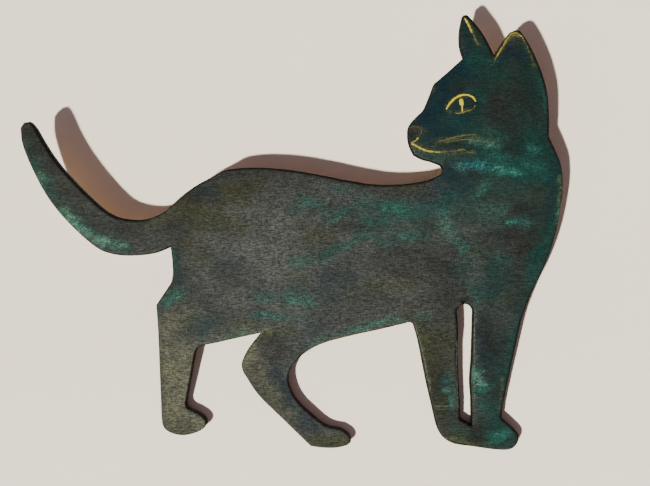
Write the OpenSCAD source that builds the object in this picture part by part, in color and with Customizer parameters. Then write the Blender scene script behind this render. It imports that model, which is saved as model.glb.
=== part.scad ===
// Wall figure of a walking cat, sawn from one thin board and painted.
// The board hangs on a sawtooth hanger nailed to a stand-off block glued to its back.
//
// Frame: +X towards the head, +Z up, the painted face looks along -Y and the wall is
// the plane Y = 0. The origin is the seat of the wall nail, in the hanger's middle notch.

/* [Board] */
// Thickness of the sawn board
board_t = 6; // [4:0.5:9]
// Length of the cat from the tail's edge to the chest
cat_l = 301; // [240:1:360]
// Radius of the hole drilled to start the cut between the front legs
start_hole_r = 4.6; // [3:0.1:5.5]
// Straight pieces that stand for each span of a curved edge
curve_steps = 3; // [2:1:6]

/* [Hanging] */
// How far the hanger's notch lies ahead of the middle of the cat, over its centre of gravity
hang_x = 39; // [30:0.5:50]
// Height of the hanger's notch above the lowest paw
hang_z = 128; // [110:0.5:132]

/* [Stand-off block] */
// Length of the block along the cat
block_l = 62; // [50:1:90]
// Height of the block
block_h = 20; // [16:1:26]
// Thickness of the block
block_t = 8; // [5:0.5:12]
// Width of the bevel sawn round the block's back edges
block_bevel = 1.5; // [0.5:0.5:3]

/* [Sawtooth hanger] */
// Length of the hanger plate
plate_l = 46; // [38:1:48]
// Height of the plate above its notches
plate_h = 8; // [6:0.5:10]
// Thickness of the sheet
plate_t = 0.8; // [0.6:0.1:1.2]
// Depth of the space behind the raised middle, for the wall nail's head
plate_lift = 1.6; // [1:0.1:2.5]
// Length of each flat end tab
tab_l = 8; // [6:0.5:9]
// Run of each slope between a tab and the raised middle
slope_l = 2.5; // [1.5:0.5:4]
// Number of teeth along the lower edge
teeth = 10; // [6:2:14]
// Depth of the teeth
tooth_h = 1.8; // [1:0.1:2.5]

/* [Hanger nails] */
// Radius of a nail's shank
nail_r = 0.6; // [0.5:0.05:0.8]
// Depth that a nail goes into the block
nail_l = 6; // [4:0.5:7]
// Radius of a nail's head
nail_head_r = 1.5; // [1.2:0.1:2]
// Height of a nail's head
nail_head_h = 0.7; // [0.4:0.1:0.9]

/* [Hidden] */

cat_scale = cat_l / 301;               // the outline below is drawn for a length of 301
standoff = block_t + plate_lift + plate_t;
block_rise = 4;                        // the block's middle above the notch
nail_x = plate_l / 2 - tab_l / 2;      // distance of a nail from the notch
nail_z = plate_h / 2;                  // height of a nail above the notch
raised_l = plate_l - 2 * tab_l - 2 * slope_l;
pitch = raised_l / teeth;

// Edges of the board, clockwise from the tip of the tail, as [x, z] with x from the cat's
// middle and z from the lowest paw. Each list ends at the corner where the next begins.
// A list ending in _cut is sawn straight from point to point, the rest are curved.
tail_tip_cut = [[-150, 179], [-148, 182], [-144.5, 182.5], [-142, 179.5]];
tail_top = [[-142, 179.5], [-133.5, 165.5], [-125, 154.5], [-111.5, 140.5], [-100.5, 131.5],
            [-91.5, 128.5], [-81.5, 128], [-74.5, 130], [-69, 133]];
back = [[-69, 133], [-61, 140.5], [-53, 146.5], [-43, 152], [-36, 155.5], [-21, 157], [-3, 156],
        [16, 153], [34, 149.5], [49, 147.5], [65.5, 148], [78, 150.5], [84.5, 153.5]];
nape_notch_cut = [[84.5, 153.5], [85, 156.5], [83.5, 158.5]];
chin = [[83.5, 158.5], [78, 160.5], [74, 161.5], [69, 164]];
muzzle = [[69, 164], [66.5, 169], [65.5, 174], [66, 180], [70, 185], [74, 189], [78, 198], [80, 203.5]];
forehead = [[80, 203.5], [86.5, 209], [92, 214], [96.5, 218]];
far_ear_face = [[96.5, 218], [94.5, 225], [94.5, 234], [96, 241.5]];
far_ear_tip_cut = [[96, 241.5], [98, 242], [99.5, 241]];
far_ear_back = [[99.5, 241], [102.5, 237.5], [107.5, 231], [113.5, 219.5]];
near_ear_face = [[113.5, 219.5], [118, 226.5], [122, 232]];
near_ear_tip_cut = [[122, 232], [125.5, 233.5], [128, 233]];
nape = [[128, 233], [133, 225.5], [139.5, 211.5], [143, 199], [144, 188], [144, 174]];
chest = [[144, 174], [148, 165.5], [151, 157], [151.5, 143], [148, 121.5], [142.5, 104.5], [134.5, 87.5],
         [129, 73], [125.5, 58], [122, 42], [118.5, 25], [117.5, 18]];
front_paw = [[117.5, 18], [122, 14], [127, 8.5], [126.5, 4], [123, 0.5], [116, 0], [100.5, 2],
             [91, 3.5], [85, 7], [82, 12], [78.5, 26], [75.5, 39], [71, 61.5], [68.5, 70]];
belly_cut = [[68.5, 70], [66.5, 71]];
belly = [[66.5, 71], [50, 67], [32, 63], [16.5, 58.5], [6.5, 52.5], [0.5, 45.5], [-1, 38.5], [3, 28.5],
         [12, 19.5], [20, 13.5], [28, 11.5]];
stepping_paw = [[28, 11.5], [33, 8], [33.5, 4], [28, 1.5], [20, 1], [11.5, 2]];
stepping_shin = [[11.5, 2], [-5, 18], [-18, 31], [-26, 43]];
stepping_knee = [[-26, 43], [-27, 47.5], [-24, 55], [-16.5, 65]];
groin = [[-16.5, 65], [-28, 62.5], [-41, 59.5], [-51, 57], [-53, 53]];
hind_shin = [[-53, 53], [-55.5, 39], [-58, 26]];
hind_paw = [[-58, 26], [-57, 23.5], [-50.5, 20], [-46.5, 16], [-48, 12], [-56, 8.5], [-63.5, 8.5],
            [-70, 12], [-71.5, 18]];
hind_leg = [[-71.5, 18], [-72.5, 42], [-73.5, 66.5], [-74.5, 80.5]];
rump_cut = [[-74.5, 80.5], [-66.5, 92.5], [-65.5, 96], [-65.5, 103.5], [-66.5, 113]];
tail_bottom = [[-66.5, 113], [-75, 109.5], [-86, 108], [-97, 108.5], [-107, 112], [-123, 126],
               [-134.5, 140], [-143.5, 156.5], [-149, 170.5], [-150, 179]];

// The cut between the front legs, below its start hole
start_hole_at = [97.3, 76.4];
leg_cut = [[92.8, 76], [93.5, 65], [93, 55], [93.5, 40.5], [94.5, 25.5], [94.5, 17.5],
           [101, 13.5], [100.8, 28.5], [100.2, 38], [101, 50], [101.4, 62], [101.8, 76]];
saw_nick = [[96, 80], [96.6, 80], [96.4, 82.6]];

// Direction of a curved edge at its i-th point: parallel to the line between its neighbours
function heading(edge, i) =
    let (a = edge[max(i - 1, 0)], b = edge[min(i + 1, len(edge) - 1)]) (b - a) / norm(b - a);
// Point at t, from 0 to 1, of the cubic from p to q that leaves along u and arrives along v
function cubic(p, q, u, v, t) =
    let (s = norm(q - p))
    (2 * t^3 - 3 * t^2 + 1) * p + (t^3 - 2 * t^2 + t) * s * u
    + (3 * t^2 - 2 * t^3) * q + (t^3 - t^2) * s * v;
// All points of a curved edge except its last
function curved(edge) =
    [for (i = [0 : len(edge) - 2], k = [0 : curve_steps - 1])
        cubic(edge[i], edge[i + 1], heading(edge, i), heading(edge, i + 1), k / curve_steps)];
// All points of a straight-cut edge except its last
function straight(edge) = [for (i = [0 : len(edge) - 2]) edge[i]];

outline = concat(
    straight(tail_tip_cut), curved(tail_top), curved(back), straight(nape_notch_cut), curved(chin),
    curved(muzzle), curved(forehead), curved(far_ear_face), straight(far_ear_tip_cut),
    curved(far_ear_back), curved(near_ear_face), straight(near_ear_tip_cut), curved(nape),
    curved(chest), curved(front_paw), straight(belly_cut), curved(belly), curved(stepping_paw),
    curved(stepping_shin), curved(stepping_knee), curved(groin), curved(hind_shin),
    curved(hind_paw), curved(hind_leg), straight(rump_cut), curved(tail_bottom));

// Stands an outline drawn in x and z up, t thick, with its back at the depth back_y
module upright(t, back_y) {
    translate([0, back_y, 0]) rotate([90, 0, 0]) linear_extrude(t) children();
}

// The cat itself: the outline less the cut between its front legs
module cat_board() {
    color("darkslategray")
    upright(board_t, -standoff) translate([-hang_x, -hang_z]) scale(cat_scale)
    difference() {
        polygon(outline);
        polygon(leg_cut);
        polygon(saw_nick);
        translate(start_hole_at) circle(start_hole_r, $fn = 64);
    }
}

// Glued behind the back: holds the hanger's nails, and holds the top off the wall
module standoff_block() {
    back_l = block_l - 2 * block_bevel;
    full_t = block_t - block_bevel;
    color("burlywood")
    difference() {
        translate([0, 0, block_rise]) intersection() {
            translate([-block_l / 2, -standoff, -block_h / 2]) cube([block_l, block_t, block_h]);
            // bevel along the two long edges
            rotate([90, 0, 90]) translate([0, 0, -block_l / 2]) linear_extrude(block_l)
            polygon([[-standoff, -block_h / 2], [full_t - standoff, -block_h / 2],
                     [block_t - standoff, block_bevel - block_h / 2],
                     [block_t - standoff, block_h / 2 - block_bevel],
                     [full_t - standoff, block_h / 2], [-standoff, block_h / 2]]);
            // bevel along the two ends
            translate([0, 0, -block_h / 2]) linear_extrude(block_h)
            polygon([[-block_l / 2, -standoff], [block_l / 2, -standoff],
                     [block_l / 2, full_t - standoff], [back_l / 2, block_t - standoff],
                     [-back_l / 2, block_t - standoff], [-block_l / 2, full_t - standoff]]);
        }
        for (side = [-1, 1]) nail_place(side) nail_shank();
    }
}

// Puts its children where a nail enters the block, with the nail's axis along Y
module nail_place(side) {
    translate([side * nail_x, -plate_t - plate_lift, nail_z]) children();
}

module nail_shank() {
    rotate([90, 0, 0]) cylinder(r = nail_r, h = nail_l, $fn = 32);
}

// A small round-headed nail through one tab of the hanger
module hanger_nail(side) {
    color("goldenrod")
    nail_place(side) {
        nail_shank();
        rotate([-90, 0, 0]) cylinder(r = nail_r, h = plate_t, $fn = 32);
        translate([0, plate_t, 0]) rotate([-90, 0, 0]) nail_head();
    }
}

// Domed head: a disc with a rounded top
module nail_head() {
    rim_h = nail_head_h / 3;
    dome_h = nail_head_h - rim_h;
    dome_r = (nail_head_r^2 + dome_h^2) / (2 * dome_h);
    cylinder(r = nail_head_r, h = rim_h, $fn = 48);
    intersection() {
        translate([0, 0, nail_head_h - dome_r]) sphere(dome_r, $fn = 96);
        cylinder(r = nail_head_r, h = nail_head_h, $fn = 48);
    }
}

// Teeth along the lower edge of the raised middle, with the middle notch at the origin
function tooth_row() =
    [for (i = [0 : teeth - 1], k = [0 : 1])
        [raised_l / 2 - (i + k / 2) * pitch, k == 0 ? 0 : -tooth_h]];

// A strip whose ends lie on the block and whose middle stands off it, toothed below
module sawtooth_hanger() {
    inner = raised_l / 2;
    outer = inner + slope_l;
    end = plate_l / 2;
    strip = [[-end, -plate_t - plate_lift], [-outer, -plate_t - plate_lift], [-inner, -plate_t],
             [inner, -plate_t], [outer, -plate_t - plate_lift], [end, -plate_t - plate_lift],
             [end, -plate_lift], [outer, -plate_lift], [inner, 0],
             [-inner, 0], [-outer, -plate_lift], [-end, -plate_lift]];
    tooth_root = plate_h / 4;
    color("goldenrod")
    difference() {
        union() {
            linear_extrude(plate_h) polygon(strip);
            upright(plate_t, 0)
            polygon(concat(tooth_row(), [[-inner, 0], [-inner, tooth_root], [inner, tooth_root]]));
        }
        for (side = [-1, 1]) nail_place(side)
            rotate([90, 0, 0]) cylinder(r = nail_r, h = 3 * plate_t, center = true, $fn = 32);
    }
}

module hanger_nail_rear() hanger_nail(-1);
module hanger_nail_front() hanger_nail(1);

cat_board();
standoff_block();
sawtooth_hanger();
hanger_nail_rear();
hanger_nail_front();
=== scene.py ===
"""A flat walking-cat wall figure: painted board, stand-off block, sawtooth hanger and its two nails.

The row frame is in metres: +X towards the head, +Z up, +Y towards the wall, painted face towards -Y.
Places on the painted face are (u, v) in millimetres, counted right and up from the board's low corner.
"""
import math

import bmesh
import bpy
import numpy as np
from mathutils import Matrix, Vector, geometry, kdtree


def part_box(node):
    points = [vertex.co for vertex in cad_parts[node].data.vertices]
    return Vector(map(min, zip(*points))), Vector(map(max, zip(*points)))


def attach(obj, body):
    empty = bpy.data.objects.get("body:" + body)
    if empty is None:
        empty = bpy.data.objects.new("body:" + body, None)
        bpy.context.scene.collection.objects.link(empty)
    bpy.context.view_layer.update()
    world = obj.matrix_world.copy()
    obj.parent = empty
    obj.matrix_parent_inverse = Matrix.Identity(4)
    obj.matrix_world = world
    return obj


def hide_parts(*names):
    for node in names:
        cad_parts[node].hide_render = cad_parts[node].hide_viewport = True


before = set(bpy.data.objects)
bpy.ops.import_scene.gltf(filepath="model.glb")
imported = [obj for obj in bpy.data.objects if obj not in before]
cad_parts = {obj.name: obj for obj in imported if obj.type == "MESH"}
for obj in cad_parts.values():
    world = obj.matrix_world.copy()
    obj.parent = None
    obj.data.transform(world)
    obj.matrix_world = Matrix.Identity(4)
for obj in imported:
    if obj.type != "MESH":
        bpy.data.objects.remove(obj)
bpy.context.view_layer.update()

MM = 0.001

# ======== sizes, millimetres
ARRIS = 0.95         # radius of the sanded front edge
BACK_ARRIS = 0.35    # radius of the sawn back edge
OUTLINE_STEP = 1.0   # spacing of points along the outline
FACE_STEP = 0.95     # spacing of points over the painted face
BACK_STEP = 3.0      # spacing of points over the bare back
LINE_STEP = 0.25     # spacing of points along a raised line of paint
LINE_SKIN = (-0.12, 0.15)    # lowest and highest skin of a raised line, above the face
LINE_SKIRT = -0.14   # height of its sides and ends, which stay hidden under the face
LINE_ROOT = 0.30     # depth of its underside in the board
STRAIGHT = 14        # a longer facet than this is a straight run, and stays straight
UNEQUAL = 3          # a facet this many times longer than its neighbour sets the curve's direction
SIDE_INSET = 0.08    # how far the sawn side stands in from the outline
EDGE_REACH = 10      # how far in the distance to the edge is stored for the paint
CLEARANCE = 0.15     # least room between the board's back and the wall
CORNER = math.radians(24)    # a sharper turn than this is a corner, and stays sharp

SUN_FROM = (-0.536, -1.0, -0.478)    # the way to the sun: low on the left, in front of the face

LOW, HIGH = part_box("cat_board")
U0, V0 = LOW.x / MM, LOW.z / MM
FACE_Y, BACK_Y = LOW.y / MM, HIGH.y / MM


# ======== plane geometry
def lattice(i, j, seed):
    """A repeatable value from 0 to 1 for each whole-number cell, from a hash of its indices."""
    n = i.astype(np.int64) * 374761393 + j.astype(np.int64) * 668265263 + seed * 1274126177
    n = n & 0xFFFFFFFF
    n = ((n ^ (n >> 13)) * 1274126177) & 0xFFFFFFFF
    return ((n ^ (n >> 16)) & 0xFFFF) / 65535.0


def soft_noise(x, y, seed):
    """Smooth value noise from 0 to 1 with cells one unit wide."""
    i, j = np.floor(x), np.floor(y)
    fx, fy = x - i, y - j
    fx, fy = fx * fx * (3 - 2 * fx), fy * fy * (3 - 2 * fy)
    low = lattice(i, j, seed) * (1 - fx) + lattice(i + 1, j, seed) * fx
    high = lattice(i, j + 1, seed) * (1 - fx) + lattice(i + 1, j + 1, seed) * fx
    return low * (1 - fy) + high * fy


def face_loops(node):
    """The closed loops of (u, v) round the painted side of a CAD node, the outer one first."""
    bm = bmesh.new()
    bm.from_mesh(node.data)
    bmesh.ops.remove_doubles(bm, verts=bm.verts, dist=1e-6)
    nexts = {}
    for f in bm.faces:
        if f.normal.y > -0.99:
            continue
        for loop in f.loops:
            if all(g is f or g.normal.y > -0.99 for g in loop.edge.link_faces):
                nexts[loop.vert] = loop.link_loop_next.vert
    loops = []
    while nexts:
        start = next(iter(nexts))
        ring, v = [], start
        while v in nexts:
            ring.append((v.co.x / MM - U0, v.co.z / MM - V0))
            v = nexts.pop(v)
        loops.append(np.array(ring))
    bm.free()
    return sorted(loops, key=lambda p: -np.ptp(p[:, 0]))


def area_of(p):
    """Area of a closed loop, positive when it runs anticlockwise."""
    q = np.roll(p, -1, 0)
    return 0.5 * float(np.sum(p[:, 0] * q[:, 1] - q[:, 0] * p[:, 1]))


def resample(p, step):
    """Rounds the short facets of a closed loop, keeps its corners and long straight runs."""
    ahead = np.roll(p, -1, 0) - p
    length = np.linalg.norm(ahead, axis=1)
    way = ahead / length[:, None]
    back_way, back_length = np.roll(way, 1, 0), np.roll(length, 1)
    cross = back_way[:, 0] * way[:, 1] - back_way[:, 1] * way[:, 0]
    turn = np.arctan2(cross, (back_way * way).sum(1))
    sharp = np.abs(turn) > CORNER
    out = []
    n = len(p)
    for i in range(n):
        j = (i + 1) % n
        L = length[i]

        def tangent(k, mine):
            a, b = back_way[k], way[k]
            la, lb = back_length[k], length[k]
            if sharp[k] or L > STRAIGHT:
                return mine
            if la > UNEQUAL * lb:
                return a
            if lb > UNEQUAL * la:
                return b
            t = a * lb + b * la
            return t / np.linalg.norm(t)

        t0, t1 = tangent(i, way[i]) * L, tangent(j, way[i]) * L
        count = max(1, round(L / step))
        for s in np.arange(count) / count:
            h = (2 * s**3 - 3 * s**2 + 1, s**3 - 2 * s**2 + s, -2 * s**3 + 3 * s**2, s**3 - s**2)
            out.append(h[0] * p[i] + h[1] * t0 + h[2] * p[j] + h[3] * t1)
    return np.array(out)


class Outline:
    """The board's edge as dense loops with the wood on their left, with a signed distance."""

    def __init__(self, loops):
        self.loops = loops
        self.a = np.concatenate(loops)
        ahead, behind, first = [], [], 0
        for p in loops:
            k = np.arange(len(p))
            ahead.append(first + (k + 1) % len(p))
            behind.append(first + (k - 1) % len(p))
            first += len(p)
        self.ahead, self.behind = np.concatenate(ahead), np.concatenate(behind)
        self.tree = kdtree.KDTree(len(self.a))
        for i, (x, y) in enumerate(self.a):
            self.tree.insert((x, y, 0), i)
        self.tree.balance()

    def nearest(self, pts):
        """Index of the outline point nearest to each given point."""
        return np.array([self.tree.find((x, y, 0))[1] for x, y in pts])

    def distance(self, pts):
        """Distance in mm from each point to the edge, and whether the point is on the wood."""
        near = self.nearest(pts)
        best = np.full(len(pts), 1e9)
        side = np.zeros(len(pts))
        for start in (self.behind[near], near):
            a, b = self.a[start], self.a[self.ahead[start]]
            ab = b - a
            t = np.clip(((pts - a) * ab).sum(1) / (ab**2).sum(1), 0, 1)
            off = pts - (a + t[:, None] * ab)
            d = np.sqrt((off**2).sum(1))
            left = ab[:, 0] * off[:, 1] - ab[:, 1] * off[:, 0]
            tied = np.where(np.abs(d - best) <= 1e-9, left, 0)
            side = np.where(d < best - 1e-9, left, side + tied)
            best = np.minimum(best, d)
        return best, side > 0


def normals_in(p):
    """Unit vectors pointing into the wood from each point of a loop that has wood on its left."""
    t = np.roll(p, -1, 0) - np.roll(p, 1, 0)
    t /= np.linalg.norm(t, axis=1)[:, None]
    return np.stack([-t[:, 1], t[:, 0]], 1)


def rounding(d, r):
    """How far a rounded edge of radius r drops below the face, d mm in from the side."""
    x = np.clip(r - d, 0, r)
    return r - np.sqrt(np.maximum(r * r - x * x, 0))


def cap(outline, step, rings):
    """Points and triangles that fill the outline, and where its own points are among them.

    Rings of points follow the edge at the given depths, and a grid fills the rest.
    """
    pts = [outline.a]
    for depth in rings:
        ring = np.concatenate([p + normals_in(p) * depth for p in outline.loops])
        d, inside = outline.distance(ring)
        pts.append(ring[inside & (d > 0.93 * depth)])
    lo, hi = outline.a.min(0), outline.a.max(0)
    rows = np.arange(lo[1], hi[1], step * 0.866)    # rows of equal-sided triangles
    cols = np.arange(lo[0], hi[0], step)
    gx, gy = np.meshgrid(cols, rows)
    gx = gx + (np.arange(len(rows)) % 2)[:, None] * step / 2
    grid = np.stack([gx.ravel(), gy.ravel()], 1)
    d, inside = outline.distance(grid)
    pts.append(grid[inside & (d > rings[-1] + 0.45 * step)])
    pts = np.concatenate(pts)
    edges = list(enumerate(outline.ahead.tolist()))
    made = geometry.delaunay_2d_cdt([Vector(q) for q in pts], edges, [], 1, 1e-6)
    verts = np.array([(v.x, v.y) for v in made[0]])
    tris = np.array(made[2])
    back = np.full(len(pts), -1)
    for new, olds in enumerate(made[3]):
        for old in olds:
            back[old] = new
    middle = verts[tris].mean(1)
    hole = outline.loops[1]
    near = ((middle > hole.min(0)) & (middle < hole.max(0))).all(1)
    keep = np.ones(len(tris), bool)
    keep[near] = outline.distance(middle[near])[1]
    return verts, tris[keep], back[:len(edges)]


# ======== paint, as listed strokes
# Each stroke: strength, half width in mm, then its (u, v) points in mm.
SEA = [       # thin dark sea-green wash
    (0.9, 14, (226, 184), (236, 200), (250, 214)),
    (0.95, 16, (284, 216), (284, 192), (284, 172)),
    (0.92, 13, (236, 174), (258, 172), (286, 166)),
    (0.85, 9, (248, 238), (252, 226), (258, 214)),
    (0.92, 12, (262, 208), (254, 196), (250, 184)),
    (0.91, 13, (246, 154), (268, 158), (288, 156)),
    (0.6, 13, (252, 142), (272, 140), (286, 132)),
    (0.88, 7, (296, 160), (298, 142), (296, 124), (290, 106)),
    (0.75, 8, (288, 104), (282, 84), (276, 62), (269, 36), (264, 14)),
    (0.55, 9, (264, 104), (260, 84), (260, 60), (258, 36)),
    (0.8, 6, (261, 8), (267, 10), (275, 7)),
    (0.3, 10, (230, 130), (212, 130), (194, 128)),
    (0.25, 10, (262, 122), (246, 128)),
    (0.3, 6, (238, 38), (238, 20)),
    (0.3, 6, (86, 108), (86, 96), (82, 84)),
    (0.18, 7, (100, 70), (120, 66)),
    (0.3, 5, (2, 172), (10, 152), (24, 130)),
]
TEAL = [
    (0.6, 3.2, (157, 140), (162, 137.5), (170, 136)),
    (0.55, 3, (151, 134), (158, 134)),
    (0.6, 3.2, (171, 128), (175, 130), (181, 133)),
    (0.4, 2.6, (173, 144), (182, 144.5)),
    (0.55, 5.5, (190, 136), (204, 135), (222, 134)),
    (0.75, 3.6, (202, 134), (209, 134), (217, 133.5)),
    (0.55, 4, (192, 126), (200, 128), (212, 130), (224, 131)),
    (0.55, 3.6, (208, 119), (216, 119), (224, 120)),
    (0.5, 2.8, (202, 115), (208, 115)),
    (0.55, 2.6, (186, 120), (193, 118.5), (200, 118)),
    (0.6, 3, (186, 117), (178, 113), (170, 109)),
    (0.35, 3.5, (170, 109), (162, 106), (156, 104)),
    (0.45, 3.2, (151, 104), (158, 105)),
    (0.6, 3, (133, 84.5), (140, 85), (150, 83), (160, 82)),
    (0.45, 5, (150, 88), (160, 85)),
    (0.6, 2.6, (131, 75), (138, 75), (147, 74)),
    (0.35, 4, (150, 74), (158, 74)),
    (0.65, 3.4, (80, 83), (84, 85), (88, 86)),
    (0.4, 3, (85, 108), (87, 100)),
    (0.2, 4, (100, 71), (108, 70)),
    (0.6, 1.8, (115, 62.5), (121, 64), (127, 65.5)),
    (0.5, 1.8, (158, 57), (163, 59.5), (168, 61)),
    (0.6, 1.8, (168, 62), (176, 64), (184, 67)),
    (0.7, 1.6, (186, 67.5), (196, 70), (204, 72), (212, 72.6)),
    (0.45, 2.4, (222, 74), (226, 74)),
    (0.55, 2, (150, 46), (153, 49)),
    (0.25, 3, (3, 169), (5, 164), (8, 158)),
    (0.6, 3.2, (9, 157), (13, 149), (18, 141)),
    (0.8, 4, (25, 132), (32, 126), (41, 119), (50, 115), (57, 114)),
    # head
    (0.41, 4.5, (249, 216), (254, 220), (260, 216)),
    (0.2, 6, (254, 210), (262, 208)),
    (0.41, 2.4, (249, 200), (254.5, 198), (257, 193)),
    (0.3, 5, (238, 183), (246, 180), (256, 181)),
    (0.2, 5, (286, 211), (289, 203), (291.5, 190)),
    (0.16, 8, (270, 210), (266, 202)),
    (0.2, 6, (276, 190), (282, 180)),
    (0.3, 9, (284, 176), (288, 166), (292, 154)),
    (0.22, 5, (266, 180), (262, 172)),
    (0.45, 6, (220, 163), (230, 162)),
    # neck and chest
    (0.42, 6, (258, 162), (268, 158), (282, 158)),
    (0.32, 4, (262, 150), (257, 146), (251, 141)),
    (0.26, 6, (268, 146), (278, 150)),
    (0.36, 3, (299, 150), (299.5, 134), (296, 120)),
    (0.45, 5, (293, 116), (288, 104), (285, 94)),
    (0.5, 5, (235, 131), (238, 124)),
    (0.28, 6, (246, 133), (258, 130), (264, 127)),
    (0.38, 5, (264, 105), (269, 104)),
    (0.35, 5, (250, 104), (244, 98)),
    (0.4, 5, (242, 116), (247, 112)),
    (0.6, 2.4, (272, 127), (276, 127)),
    (0.4, 3.6, (279, 129), (281, 126)),
    (0.25, 6, (264, 96), (270, 90), (256, 88)),
    # front legs
    (0.5, 3.2, (251, 91), (253, 84)),
    (0.5, 3, (237, 40), (239, 34), (239, 26)),
    (0.4, 4, (240, 12), (246, 10)),
    (0.75, 3.6, (254, 42), (256, 37)),
    (0.45, 4, (255, 30), (258, 20)),
    (0.5, 4, (274, 68), (272, 54), (270, 42)),
    (0.45, 5, (262, 24), (265, 18)),
    (0.75, 4, (260, 8), (267, 7), (273, 10)),
    (0.45, 5, (222, 131), (234, 136), (242, 143)),
    (0.4, 4, (262, 5), (274, 5)),
    (0.2, 6, (228, 168), (240, 162), (252, 166)),
    (0.25, 4, (14, 149), (22, 138)),
    (0.25, 4, (239, 40), (241, 28)),
]
AQUA = [
    (0.55, 2.6, (24, 133), (28, 129)),
    (0.9, 2.2, (28, 128.5), (34, 123.5), (40, 118.5), (46, 115.5)),
    (0.75, 2, (46, 116), (52, 114.5), (56, 114)),
    (0.55, 1.6, (10.5, 153), (13, 149)),
    (0.75, 2.8, (246, 158.2), (251, 158.6), (256, 157.6)),
    (0.3, 2.8, (244, 157), (250, 157.5)),
    (0.5, 2.4, (256, 158), (262, 156), (268, 154.5)),
    (0.48, 1.8, (266, 158), (272, 155), (278, 153.5)),
    (0.64, 1.5, (273, 155.5), (276, 156)),
    (0.28, 3, (262, 163), (270, 162)),
    (0.28, 2.6, (262, 170.5), (266, 168)),
    (0.12, 4.5, (260, 176), (267, 172)),
    (0.4, 2.2, (282, 169), (286, 167)),
    (0.22, 5, (284, 160), (290, 156)),
    (0.26, 2, (259, 149), (255, 144), (251, 141)),
    (0.32, 2.5, (203, 134.5), (210, 134), (215, 133.5)),
    (0.19, 2.2, (212, 120), (218, 119)),
    (0.22, 1.6, (160, 138), (164, 136.5)),
    (0.19, 1.8, (173, 128.5), (177, 129)),
    (0.22, 1.6, (180, 113.5), (184, 114.5)),
    (0.25, 1.8, (133, 83.5), (138, 83.5)),
    (0.25, 2, (150, 82.5), (162, 82)),
    (0.28, 1.6, (132, 75.4), (139, 75.4), (145, 74)),
    (0.22, 1.6, (153, 104), (156, 104.5)),
    (0.34, 2.6, (81, 83), (86, 86)),
    (0.19, 1.5, (122, 64.6), (126, 65.4)),
    (0.42, 1.5, (182, 66), (200, 71), (209, 72.6)),
    (0.28, 3, (236, 132), (238, 123)),
    (0.24, 3, (242, 116), (246, 111)),
    (0.2, 4, (258, 137), (266, 133)),
    (0.7, 1.2, (271.6, 126.6), (275, 127.6)),
    (0.3, 1.8, (279, 128), (281, 125.6)),
    (0.6, 1.6, (299.6, 134), (298, 127)),
    (0.8, 3.2, (253.6, 42.5), (256.4, 36.5)),
    (0.45, 2.2, (263, 7), (270, 9)),
    (0.35, 1.8, (238, 33), (239, 25)),
    (0.16, 1.6, (288, 206), (291, 197), (292.6, 188)),
    (0.4, 2.4, (250, 172), (256, 171.6), (261, 169)),
]
OLIVE = [
    (0.55, 6, (72, 130), (80, 130), (88, 134)),
    (0.3, 4, (84, 137), (90, 140)),
    (0.65, 4.5, (92, 133), (102, 133), (112, 133)),
    (0.55, 4.5, (110, 146), (122, 145), (134, 148)),
    (0.5, 4, (116, 139), (126, 138)),
    (0.5, 5, (98, 124), (112, 125), (124, 124)),
    (0.55, 4, (90, 113), (98, 114)),
    (0.35, 5, (92, 103), (104, 106)),
    (0.4, 6, (160, 120), (170, 118)),
    (0.35, 3.5, (150, 98), (156, 94)),
    (0.4, 3.5, (120, 71), (127, 71)),
    (0.45, 8, (86, 70), (84, 52), (86, 32), (90, 15)),
    (0.5, 5, (82, 66), (80, 46)),
    (0.4, 3, (95, 50), (93, 34)),
    (0.65, 4.5, (126, 54), (127, 48), (132, 40)),
    (0.4, 4, (134, 62), (140, 66), (150, 66)),
    (0.5, 3.5, (134, 34), (142, 24), (152, 12)),
    (0.7, 5, (162, 7), (172, 6), (182, 6)),
    (0.45, 5, (216, 76), (224, 70), (226, 56)),
    (0.5, 4.5, (224, 60), (228, 44), (231, 30), (235, 14)),
    (0.4, 5, (238, 66), (236, 50)),
    (0.55, 4, (240, 7), (252, 6)),
    (0.35, 6, (196, 92), (208, 93), (216, 92)),
    (0.3, 4, (186, 90), (188, 84)),
    (0.4, 3.5, (204, 145), (224, 146)),
    (0.15, 5, (2, 178), (6, 176)),
    (0.5, 3, (254, 232), (257, 227)),
    (0.45, 5, (270, 209), (276, 206)),
    (0.55, 3.5, (283, 144), (286, 140)),
    (0.45, 4, (252, 111), (259, 110)),
    (0.35, 4, (264, 86), (270, 84)),
    (0.35, 4, (270, 134), (276, 131)),
    (0.4, 3, (283, 223), (285, 215)),
    (0.55, 6, (84, 44), (87, 28), (92, 15)),
]
BLUE = [
    (0.85, 5, (231, 199), (238, 208), (245, 216)),
    (0.92, 6, (221, 183), (228, 190), (234, 194)),
    (0.6, 6, (228, 178), (238, 182), (246, 184)),
    (0.45, 4, (224, 176), (230, 173), (240, 176)),
    (0.6, 3, (245.5, 232), (246.5, 222), (247, 214)),
    (0.65, 5, (266, 218), (272, 222), (276, 219)),
    (0.4, 5, (244, 200), (250, 206)),
    (0.85, 4.5, (242, 156), (249, 158), (254, 157)),
    (0.45, 4.5, (232, 154), (240, 152)),
    (0.6, 5, (232, 146), (238, 143), (244, 146)),
    (0.45, 5, (228, 137), (236, 137)),
    (0.45, 4, (100, 144), (108, 144)),
    (0.3, 4, (112, 103), (120, 103)),
    (0.45, 4, (86, 109), (88, 98)),
    (0.4, 5, (172, 98), (182, 95)),
    (0.3, 5, (168, 90), (174, 86)),
    (0.3, 3.5, (176, 135), (186, 132)),
    (0.55, 5, (141, 44), (147, 36), (152, 24), (162, 14)),
    (0.3, 6, (84, 60), (92, 66)),
    (0.35, 6, (100, 68), (112, 68)),
    (0.35, 5, (160, 66), (168, 70)),
    (0.25, 4, (254, 116), (258, 113)),
    (0.4, 5, (256, 92), (262, 88)),
    (0.5, 4, (256, 66), (260, 50)),
    (0.4, 4, (296, 148), (298, 156)),
]
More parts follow.
